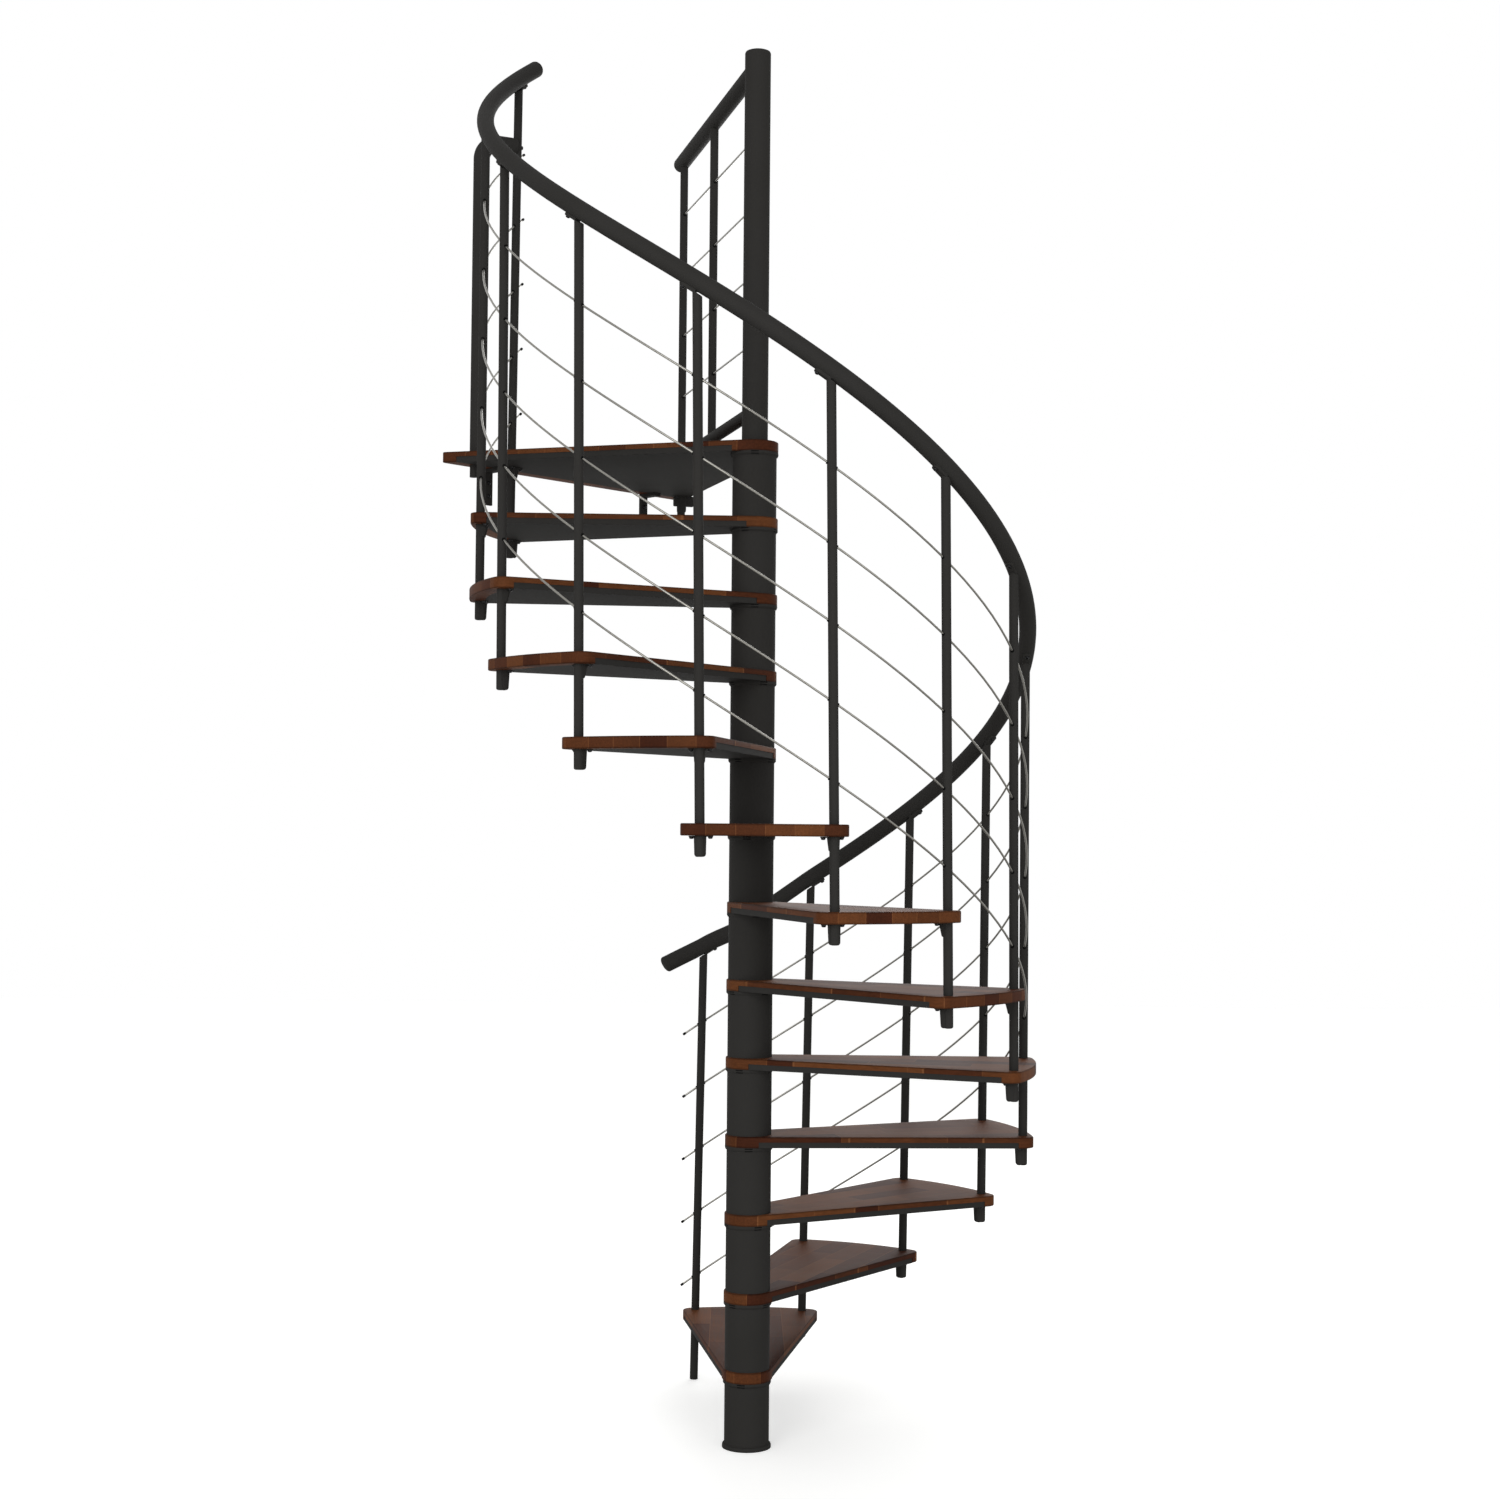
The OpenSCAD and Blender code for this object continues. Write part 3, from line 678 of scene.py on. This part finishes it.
def makeTreadBoards():
    half = math.radians(stair["stepTurn"]) / 2
    holes = {"places": [polar(stair["circle"], half), polar(stair["circle"], -half)], "round": 1.0}
    firstFrame = Matrix.Translation((0, 0, riser)) @ Matrix.Rotation(balusterAngle(1) - half, 4, "Z")
    master = roundedBoard(treadNames[0], firstFrame, holes)
    draw = random.Random(board["seed"])
    most = board["planksShift"]
    for count in range(1, treadCount + 1):
        name = "treadBoard_%02d" % count
        made = bpy.data.objects.new(name, master.data.copy())
        bpy.context.scene.collection.objects.link(made)
        turn = draw.uniform(-board["planksTurn"], board["planksTurn"])
        markPlanks(made.data, turn, (draw.uniform(0, most), draw.uniform(0, most), 0))
        made.data.transform(Matrix.Translation((0, 0, count * riser))
                            @ Matrix.Rotation(balusterAngle(count) - half, 4, "Z"))
        addPiece(made, wood, "wood", treadNames[count - 1])
    bpy.data.objects.remove(master)


makeTreadBoards()


def lowestAxis(nodeName):
    # the middle of a node's lowest rim
    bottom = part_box(nodeName)[0].z + rimSlack
    low = [v.co for v in nodes[nodeName].data.vertices if v.co.z < bottom]
    return sum(low, Vector()) / len(low)


guardSpot = lowestAxis("guard_balusters")
landing = {
    "guardEnd": guardSpot.to_2d().length,      # post's axis to the guard's end baluster
    "guardMiddle": 0.56,        # the guard's other baluster, as a share of that
    "guardAngle": math.degrees(math.atan2(guardSpot.y, guardSpot.x)),
    "guardLow": 0.082,          # lower rail's axis over the landing
    "guardPitch": 0.1728,
    "guardRods": 4,
    "guardTop": 0.950,          # top rail's axis over the landing, at the post
    "guardTilt": 1.6,           # degrees that it falls outwards
    "guardRailFrom": 0.030,     # from the post's axis, just inside its skin
    "guardRailOver": 0.038,     # past the end baluster
}


def makeLandingBoard():
    angle = balusterAngle(treadCount + 1) - math.radians(stair["landingTurn"])
    own = Matrix.Translation((0, 0, landingTop)) @ Matrix.Rotation(angle, 4, "Z")
    places = [polar(stair["circle"], math.radians(stair["landingTurn"]))]
    for nodeName in ("guard_balusters", "corner_guard_tube"):
        spot = own.inverted() @ lowestAxis(nodeName)
        places.append((spot.x, spot.y))
    piece = roundedBoard("landing_board", own, {"places": places, "round": 0.0})
    piece.name = "landingBoard"
    markPlanks(piece.data, board["landingPlanksTurn"], board["landingPlanksShift"])
    piece.data.transform(own)
    addPiece(piece, wood, "wood", "landing_board")


makeLandingBoard()


def makeGuardRail():
    near, far = landing["guardRailFrom"], landing["guardEnd"] + landing["guardRailOver"]
    piece = startShape(
        bpy.ops.mesh.primitive_cylinder_add, vertices=rail["sides"], radius=rail["radius"], depth=far - near,
        end_fill_type="NOTHING", location=((near + far) / 2, 0, 0), rotation=(0, math.pi / 2, 0))
    roundEnd(piece, Matrix.Translation((far, 0, 0)), 1, rail["radius"], rail["cap"])
    editVerts(piece, lambda co: co.x < near + slack)
    bpy.ops.mesh.edge_face_add()
    closeUp(piece)
    place = (Matrix.Translation((0, 0, landingTop + landing["guardTop"]))
             @ Matrix.Rotation(math.radians(landing["guardAngle"]), 4, "Z")
             @ Matrix.Rotation(math.radians(landing["guardTilt"]), 4, "Y"))
    addPiece(copyTo(piece, [place], "guardRailTube"), steel, "painted_steel", "guard_rail")


makeGuardRail()
print("boards and guard rail made")


# balusters: tubes with a round foot, mitred under the handrail

baluster = {
    "radius": 0.011,
    "sides": 32,
    "foot": 0.073,             # below the top of the tread under its own
    "footRound": 0.0045,
    "footRise": 0.001,         # the leaning foot's rim rises by less than this
    "floorGap": 0.0002,        # under the first one, which stands on the floor
    "floorRound": 0.001,
    "roundSteps": 4,
    "mitre": 0.024,            # below the handrail's axis, just inside the saddle plate
    "spare": 0.02,             # over the handrail's axis, cut off again
}


def makeBaluster(low, footRound):
    # over its own tread's top, leaning, X along the climb
    high = rail["rise"] + baluster["spare"]
    middle = (low + high) / 2
    piece = startShape(
        bpy.ops.mesh.primitive_cylinder_add, vertices=baluster["sides"], radius=baluster["radius"],
        depth=(high - low) / math.cos(lean), location=(leanShift(middle), 0, middle), rotation=(0, lean, 0))
    roundBelow(piece, low + baluster["footRise"], footRound, baluster["roundSteps"])
    up = Vector((-math.sin(slope), 0, math.cos(slope)))
    cutAway(piece, Vector((leanShift(rail["rise"]), 0, rail["rise"])) - up * baluster["mitre"], up)
    closeUp(piece)
    return piece


def makeBalusters():
    master = makeBaluster(-riser - baluster["foot"], baluster["footRound"])
    for count in range(2, treadCount + 2):
        piece = copyTo(master, [placeAt(balusterAngle(count), stair["circle"], 0, count * riser)],
                       "balusterTube_%02d" % count, keep=True)
        addPiece(piece, steel, "painted_steel", "baluster_%02d" % count)
    bpy.data.objects.remove(master)
    first = makeBaluster(baluster["floorGap"] - riser, baluster["floorRound"])
    first = copyTo(first, [placeAt(balusterAngle(1), stair["circle"], 0, riser)], "balusterTube_01")
    addPiece(first, steel, "painted_steel", "baluster_01")


makeBalusters()
print("balusters made")


# screws with a domed head and a hexagon socket

screw = {
    "radius": 0.0053,
    "height": 0.0045,
    "dome": 0.0032,
    "domeSteps": 4,
    "socket": 0.0019,          # radius
    "socketDepth": 0.0015,
    "sides": 18,
    "smoothTurn": 50,
}
screwPlaces = []


def makeScrew():
    # hangs down from the origin
    piece = startShape(bpy.ops.mesh.primitive_cylinder_add, vertices=screw["sides"], radius=screw["radius"],
                       depth=screw["height"], location=(0, 0, -screw["height"] / 2))
    roundBelow(piece, slack - screw["height"], screw["dome"], screw["domeSteps"])
    editFaces(piece, lambda face: face.normal.z < -facing)
    bpy.ops.mesh.inset(thickness=screw["radius"] - screw["dome"] - screw["socket"])
    bpy.ops.mesh.extrude_region_move(TRANSFORM_OT_translate={"value": (0, 0, screw["socketDepth"])})
    closeUp(piece, screw["smoothTurn"])
    return piece


# clamps that hold the balusters under the boards

clamps = {
    "lower": {"width": 0.0255, "reach": 0.0195, "height": 0.046, "footWidth": 0.92, "footReach": 0.017,
              "corner": 0.008, "footRound": 0.006},
    "upper": {"width": 0.0255, "reach": 0.0205, "height": 0.032, "footWidth": 0.88, "footReach": 0.0125,
              "corner": 0.007, "footRound": 0.003},
    "cornerSteps": 5,
    "footSteps": 4,
    "front": 0.002,            # past the tube's axis
    "earLength": 0.027,        # from the tube's axis
    "guardEarLength": 0.023,
    "earThickness": 0.0025,
    "earFrom": 0.006,          # towards the post, from the tube's axis
    "earTo": 0.021,
    "earRound": 0.0055,
    "screwInset": 0.006,
    "lugBack": 0.023,          # the guard's clamp has a block on both sides of its tube
    "lugFront": 0.034,
    "lugDepth": 0.016,
    "lugHeight": 0.028,
    "lugRound": 0.004,
    "boreGap": 0.0001,         # round the tube
}
bore = {"sides": 48, "length": 0.3, "smoothTurn": 40}


def joinAndCut(piece, additions, boreRadius, turn=(0, 0, 0)):
    # joins solids and cuts a bore through the origin, along Z unless it is turned
    cutter = startShape(bpy.ops.mesh.primitive_cylinder_add, vertices=bore["sides"], radius=boreRadius,
                        depth=bore["length"], rotation=turn)
    for tool, operation in [(tool, "UNION") for tool in additions] + [(cutter, "DIFFERENCE")]:
        cut = piece.modifiers.new("cut", "BOOLEAN")
        cut.operation = operation
        cut.solver = "EXACT"
        cut.object = tool
        applyModifiers(piece)
        bpy.data.objects.remove(tool)
    closeUp(piece, bore["smoothTurn"])


def makeLug():
    # a rounded block across the post's side of the tube
    long = clamps["lugFront"] + clamps["lugBack"]
    deep, high = clamps["lugDepth"], clamps["lugHeight"]
    lug = startShape(bpy.ops.mesh.primitive_cube_add, size=1, scale=(long, deep, high),
                     location=(clamps["lugFront"] - long / 2, -deep / 2, -high / 2))
    roundBelow(lug, slack - high, clamps["lugRound"], clamps["footSteps"])
    return lug


def makeEars(length):
    # one plate with round ends
    deep, thick = clamps["earTo"] - clamps["earFrom"], clamps["earThickness"]
    ears = startShape(bpy.ops.mesh.primitive_cube_add, size=1, scale=(2 * length, deep, thick),
                      location=(0, -clamps["earFrom"] - deep / 2, -thick / 2))
    editEdges(ears, upright)
    bevelSelected(clamps["earRound"], clamps["cornerSteps"])
    return ears


def makeClamp(kind, earLength, *extra):
    # hangs down from the origin on the post's side of a tube
    values, front = clamps[kind], clamps["front"]
    deep, high = values["reach"] + front, values["height"]
    piece = startShape(bpy.ops.mesh.primitive_cube_add, size=1, scale=(values["width"], deep, high),
                       location=(0, front - deep / 2, -high / 2))
    foot = slack - high
    editVerts(piece, lambda co: co.z < foot)
    bpy.ops.transform.resize(value=(values["footWidth"], (values["footReach"] + front) / deep, 1),
                             center_override=(0, front, -high))
    bpy.ops.object.mode_set(mode="OBJECT")
    editEdges(piece, lambda a, b: upright(a, b) and max(a.y, b.y) < 0)
    bevelSelected(values["corner"], clamps["cornerSteps"])
    editEdges(piece, lambda a, b: max(a.z, b.z) < foot and min(a.y, b.y) < front - wideSlack)
    bevelSelected(values["footRound"], clamps["footSteps"])
    joinAndCut(piece, [makeEars(earLength), *extra], baluster["radius"] + clamps["boreGap"])
    return piece


def makeClamps():
    lowerPlaces, upperPlaces = [], []
    under = -boardThickness
    for count in range(1, treadCount + 2):
        angle = balusterAngle(count)
        upperPlaces.append(placeAt(angle, stair["circle"], leanShift(under), count * riser + under, -lean))
        if count > 1:
            lowerPlaces.append(placeAt(angle, stair["circle"], leanShift(under - riser),
                                       (count - 1) * riser + under, -lean))
    guardPlace = placeAt(math.radians(landing["guardAngle"]), landing["guardEnd"], 0, landingTop + under)
    lower = copyTo(makeClamp("lower", clamps["earLength"]), lowerPlaces, "lowerClamps")
    guard = copyTo(makeClamp("lower", clamps["guardEarLength"], makeLug()), [guardPlace], "guardClamp")
    upper = copyTo(makeClamp("upper", clamps["earLength"]), upperPlaces, "upperClamps")
    addPiece(lower, steel, "painted_steel", "lower_brackets")
    addPiece(guard, steel, "painted_steel", "lower_brackets")
    addPiece(upper, steel, "painted_steel", "upper_brackets")
    middle = -(clamps["earFrom"] + clamps["earTo"]) / 2
    for places, earLength in ((lowerPlaces + upperPlaces, "earLength"), ([guardPlace], "guardEarLength")):
        for place in places:
            for side in (-1, 1):
                spot = (side * (clamps[earLength] - clamps["screwInset"]), middle, -clamps["earThickness"])
                screwPlaces.append(place @ Matrix.Translation(spot))


makeClamps()
print("clamps made")


# saddles: plates under the handrail on the balusters, each with a screw on its uphill end

saddle = {
    "downhill": 0.0107,
    "uphill": 0.030,
    "width": 0.018,
    "bottom": 0.026,           # below the handrail's axis
    "thickness": 0.0085,
    "endRound": 0.008,
    "endSteps": 6,
    "edge": 0.001,
    "edgeSteps": 2,
    "gap": 0.00005,            # round the handrail
    "screw": 0.0215,
}


def leaningPlace(count, height):
    # on a leaning baluster's axis at that height over its tread, X up the slope
    angle = balusterAngle(count) - leanShift(height) / stair["circle"]
    return placeAt(angle, stair["circle"], 0, count * riser + height, slope)


def makeSaddles():
    long, thick = saddle["uphill"] + saddle["downhill"], saddle["thickness"]
    piece = startShape(bpy.ops.mesh.primitive_cube_add, size=1, scale=(long, saddle["width"], thick),
                       location=(saddle["uphill"] - long / 2, 0, thick / 2 - saddle["bottom"]))
    editEdges(piece, lambda a, b: upright(a, b) and min(a.x, b.x) > 0)
    bevelSelected(saddle["endRound"], saddle["endSteps"])
    roundBelow(piece, slack - saddle["bottom"], saddle["edge"], saddle["edgeSteps"])
    joinAndCut(piece, [], rail["radius"] + saddle["gap"], (0, math.pi / 2, 0))
    places = [leaningPlace(count, rail["rise"]) for count in range(1, treadCount + 2)]
    addPiece(copyTo(piece, places, "railSaddles"), steel, "painted_steel", "rail_saddles")
    for place in places:
        screwPlaces.append(place @ Matrix.Translation((saddle["screw"], 0, -saddle["bottom"])))


makeSaddles()


# the corner tube's screw, on the far side of the last baluster

cornerScrew = {
    "rise": 0.818,             # over the landing
    "sink": 0.0006,            # into the baluster
    "axisFrom": -0.001,        # the part of the tube over the landing that gives its axis
    "axisTo": 0.3,
}


def placeCornerScrew():
    low, high = landingTop + cornerScrew["axisFrom"], landingTop + cornerScrew["axisTo"]
    tube = [v.co for v in nodes["corner_guard_tube"].data.vertices if low < v.co.z < high]
    axis = sum(tube, Vector()) / len(tube)
    shift = leanShift(cornerScrew["rise"])
    top = placeAt(balusterAngle(treadCount + 1), stair["circle"], shift, 0).translation
    away = (top - axis).to_2d().normalized().to_3d()
    spot = top + away * (baluster["radius"] - cornerScrew["sink"])
    spot.z = landingTop + cornerScrew["rise"]
    screwPlaces.append(Matrix.Translation(spot) @ away.to_track_quat("-Z", "Y").to_matrix().to_4x4())


placeCornerScrew()

wall = {
    "offset": 0.280,           # brackets, from the landing's centre line
    "plate": 0.008,
    "screws": (0.035, 0.070),  # under the board
}


def placeWallScrews():
    # heads on the post's side of the wall brackets
    angle = balusterAngle(treadCount + 1) - math.radians(stair["landingTurn"])
    own = Matrix.Translation((0, 0, landingTop - boardThickness)) @ Matrix.Rotation(angle, 4, "Z")
    inwards = own.inverted()
    reach = max((inwards @ vert.co).x for vert in nodes["wall_brackets"].data.vertices)
    for side in (-1, 1):
        for below in wall["screws"]:
            spot = Matrix.Translation((reach - wall["plate"], side * wall["offset"], -below))
            screwPlaces.append(own @ spot @ Matrix.Rotation(math.pi / 2, 4, "Y"))


placeWallScrews()
addPiece(copyTo(makeScrew(), screwPlaces, "domedScrews"), screwSteel, "painted_steel")
print("saddles and screws made")


# bushes where the rods pass through the balusters, and caps on the ends of the rods

bush = {
    "radius": 0.0046,
    "bore": 0.0027,
    "half": 0.0138,            # of its length
    "edge": 0.0007,
    "edgeSteps": 2,
    "recess": 0.0008,
    "sides": 14,
}


def onGuard(radius):
    # on the guard's rods at that distance from the post, X along them
    quarter = Matrix.Rotation(math.pi / 2, 4, "Z")
    heights = [landingTop + landing["guardLow"] + count * landing["guardPitch"]
               for count in range(1, landing["guardRods"] + 1)]
    return [placeAt(math.radians(landing["guardAngle"]), radius, 0, height) @ quarter for height in heights]


def startSleeve(values, length):
    # lies along X, with rounded ends
    piece = startShape(bpy.ops.mesh.primitive_cylinder_add, vertices=values["sides"],
                       radius=values["radius"], depth=length, rotation=(0, math.pi / 2, 0))
    editFaces(piece, lambda face: abs(face.normal.x) > facing)
    bevelSelected(values["edge"], values["edgeSteps"])
    return piece


def makeBushes():
    piece = startSleeve(bush, 2 * bush["half"])
    for way in (-1, 1):
        editFaces(piece, lambda face: face.normal.x * way > facing)
        bpy.ops.mesh.inset(thickness=bush["radius"] - bush["edge"] - bush["bore"])
        bpy.ops.mesh.extrude_region_move(TRANSFORM_OT_translate={"value": (-bush["recess"] * way, 0, 0)})
    closeUp(piece)
    places = [leaningPlace(count, rods["first"] + rodCount * rods["pitch"])
              for count in range(1, treadCount + 2) for rodCount in range(rods["count"])]
    for share in (1, landing["guardMiddle"]):
        places += onGuard(landing["guardEnd"] * share)
    addPiece(copyTo(piece, places, "rodBushes"), nylonAndSlotShade, "painted_steel")


makeBushes()

rodCap = {
    "radius": 0.0034,
    "from": 0.044,             # past the end balusters
    "to": 0.053,
    "guardFrom": 0.021,
    "edge": 0.0012,
    "edgeSteps": 2,
    "sides": 14,
}


def makeRodCaps():
    length = rodCap["to"] - rodCap["from"]
    piece = startSleeve(rodCap, length)
    closeUp(piece)
    over = (rodCap["from"] + length / 2) / stepLength
    places = []
    for rodCount in range(rods["count"]):
        rise = helixRise(rods["first"] + rodCount * rods["pitch"])
        places += [stepFrame(-over, rise), stepFrame(treadCount + over, rise)]
    places += onGuard(landing["guardEnd"] + rodCap["guardFrom"] + length / 2)
    addPiece(copyTo(piece, places, "rodCaps"), nylonAndSlotShade, "painted_steel")


makeRodCaps()


# painted shade in the slots of the collars: near-black inserts, curved with them

slots = {
    "turn": -14.0,             # first slot, from the board's centre line
    "landingTurn": 44.0,
    "radius": 0.0593,          # just proud of the collar
    "lowerShare": 0.972,       # the lower slots sit where the collar narrows
    "back": 0.0557,
    "length": 0.0194,
    "height": 0.0026,
    "below": (0.0025, 0.008),  # under the board's bottom
    "sides": 96,
}


def makeSlotShades():
    piece = startShape(bpy.ops.mesh.primitive_cylinder_add, vertices=slots["sides"], radius=slots["radius"],
                       depth=slots["height"])
    side = slots["length"] / 2
    cutAway(piece, (slots["back"], 0, 0), (-1, 0, 0))
    cutAway(piece, (0, side, 0), (0, 1, 0))
    cutAway(piece, (0, -side, 0), (0, -1, 0))
    closeUp(piece)
    half = math.radians(stair["stepTurn"]) / 2
    centres = [(balusterAngle(count) - half + math.radians(slots["turn"]), count * riser)
               for count in range(1, treadCount + 1)]
    landingAngle = balusterAngle(treadCount + 1) - math.radians(stair["landingTurn"])
    centres.append((landingAngle + math.radians(slots["landingTurn"]), landingTop))
    places = [Matrix.Translation((0, 0, top - boardThickness - below)) @ Matrix.Rotation(turn + side, 4, "Z")
              @ Matrix.Diagonal((share, share, 1, 1))
              for turn, top in centres
              for side in (0, math.pi / 2, math.pi, -math.pi / 2)
              for below, share in zip(slots["below"], (1, slots["lowerShare"]))]
    # the slots' painted shade takes the nylon's near black
    addPiece(copyTo(piece, places, "slotShadeInserts"), nylonAndSlotShade, "painted_steel")


makeSlotShades()
print("bushes, rod caps and slot plugs made")
